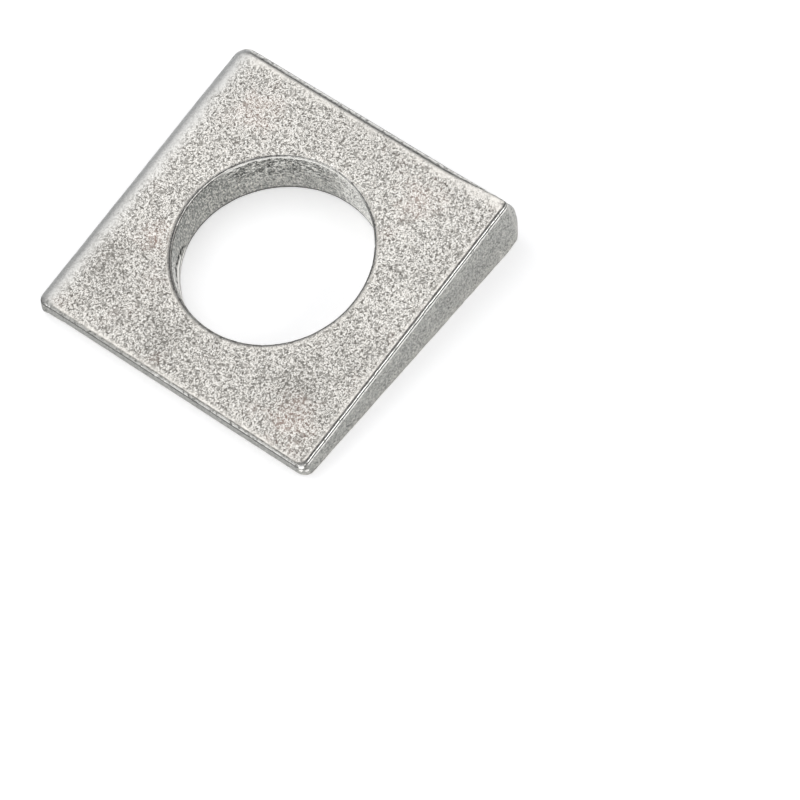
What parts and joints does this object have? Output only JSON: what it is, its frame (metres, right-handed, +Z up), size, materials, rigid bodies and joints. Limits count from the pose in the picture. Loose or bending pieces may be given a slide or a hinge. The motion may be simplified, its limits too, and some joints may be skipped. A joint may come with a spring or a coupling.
{
  "type": "square beveled washer",
  "caption": "Square steel washer with a wedge-shaped section and a round bolt hole, for seating a nut or bolt head square on a sloping beam flange.",
  "frame": {"origin": "middle of the washer's box, on the surface that its taper face lies on", "axes": "+Z up, square to the taper face; +Y from the thin edge to the thick edge; +X along the thick edge"},
  "size_m": [0.04, 0.041, 0.0094],
  "materials": {
    "bare_steel": "matt pickled steel, finely pitted"
  },
  "bodies": {
    "root": {"square_taper_washer": "bare_steel"}
  },
  "joints": []
}
